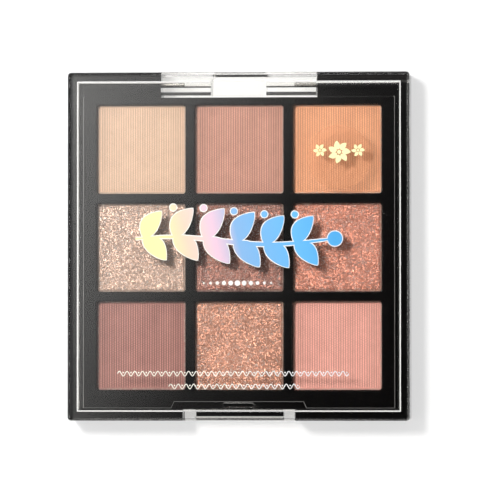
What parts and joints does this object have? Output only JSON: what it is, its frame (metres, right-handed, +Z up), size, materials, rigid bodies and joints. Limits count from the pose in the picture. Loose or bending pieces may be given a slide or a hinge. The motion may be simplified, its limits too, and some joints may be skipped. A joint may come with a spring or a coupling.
{
  "type": "eyeshadow palette",
  "caption": "Square eyeshadow palette with a hinged clear lid over a grid of pressed powders in metal pans.",
  "frame": {"origin": "centre of the base's underside, on the surface that the closed palette lies on", "axes": "+X to the right seen from above with the latch towards the viewer, +Y towards the hinge, +Z up through the lid"},
  "size_m": [0.08, 0.0814, 0.0121],
  "materials": {
    "black_plastic": "gloss",
    "black_tray": "satin",
    "clear_lid": "gloss",
    "steel_pin": "satin",
    "glue": "satin",
    "clear_sticker": "gloss",
    "tin_pan": "satin",
    "powder_cream": "matte",
    "powder_dusty_rose": "matte",
    "powder_apricot": "matte",
    "powder_champagne": "satin",
    "powder_rose_gold": "satin",
    "powder_rose_copper": "satin",
    "powder_mauve": "matte",
    "powder_copper": "satin",
    "powder_salmon": "matte"
  },
  "bodies": {
    "base": {"base_shell": "black_plastic", "pan_tray": "black_tray", "hinge_pin_left": "steel_pin", "hinge_pin_right": "steel_pin", "pan_glue": "glue", "pan_cream": "tin_pan", "powder_cream": "powder_cream", "pan_dusty_rose": "tin_pan", "powder_dusty_rose": "powder_dusty_rose", "pan_apricot": "tin_pan", "powder_apricot": "powder_apricot", "pan_champagne": "tin_pan", "powder_champagne": "powder_champagne", "pan_rose_gold": "tin_pan", "powder_rose_gold": "powder_rose_gold", "pan_rose_copper": "tin_pan", "powder_rose_copper": "powder_rose_copper", "pan_mauve": "tin_pan", "powder_mauve": "powder_mauve", "pan_copper": "tin_pan", "powder_copper": "powder_copper", "pan_salmon": "tin_pan", "powder_salmon": "powder_salmon"},
    "lid": {"lid": "clear_lid", "shade_sticker": "clear_sticker"}
  },
  "joints": [
    {"name": "lid_hinge", "type": "hinge", "parent": "base", "child": "lid", "pos_m": [0, 0.03798, 0.0046], "axis": [-1, 0, 0], "range_deg": [0, 100]}
  ]
}
